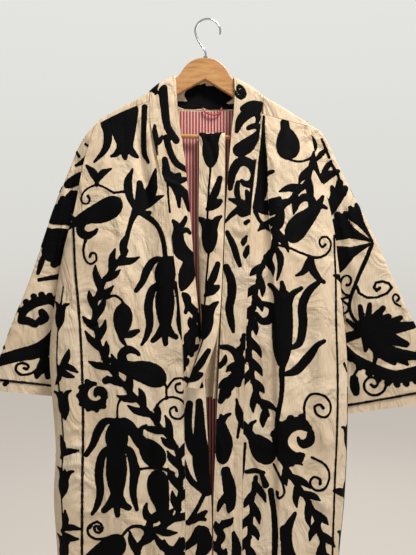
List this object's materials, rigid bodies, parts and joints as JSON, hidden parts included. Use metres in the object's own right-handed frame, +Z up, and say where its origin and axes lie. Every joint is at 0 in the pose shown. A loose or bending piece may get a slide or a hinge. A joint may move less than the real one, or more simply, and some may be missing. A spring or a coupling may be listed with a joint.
{
  "type": "suzani coat on a clothes hanger",
  "caption": "Long open-fronted coat of cream cotton with black suzani embroidery, wide sleeves and a tie belt, on a wooden hanger.",
  "frame": {"origin": "under the top of the hook's bend, where a rail carries the hanger", "axes": "+Z up, the coat's front faces -Y, +X is the wearer's left"},
  "size_m": [0.968, 0.1224, 1.2639],
  "materials": {
    "embroidered_cotton": "matt cream cotton, chain-stitched in black",
    "striped_lining": "fine red and white stripes",
    "pink_cord": "soft twisted cord",
    "beech": "satin lacquer",
    "chromed_wire": "polished"
  },
  "bodies": {
    "root": {"front_right": "embroidered_cotton", "front_left": "embroidered_cotton", "back": "embroidered_cotton", "sleeve_right": "embroidered_cotton", "sleeve_left": "embroidered_cotton", "band_right": "embroidered_cotton", "band_left": "embroidered_cotton", "lining": "striped_lining", "belt": "embroidered_cotton", "hang_loop": "pink_cord", "hanger_yoke": "beech", "hanger_bar": "beech", "hanger_hook": "chromed_wire", "hook_collar": "chromed_wire"}
  },
  "joints": []
}
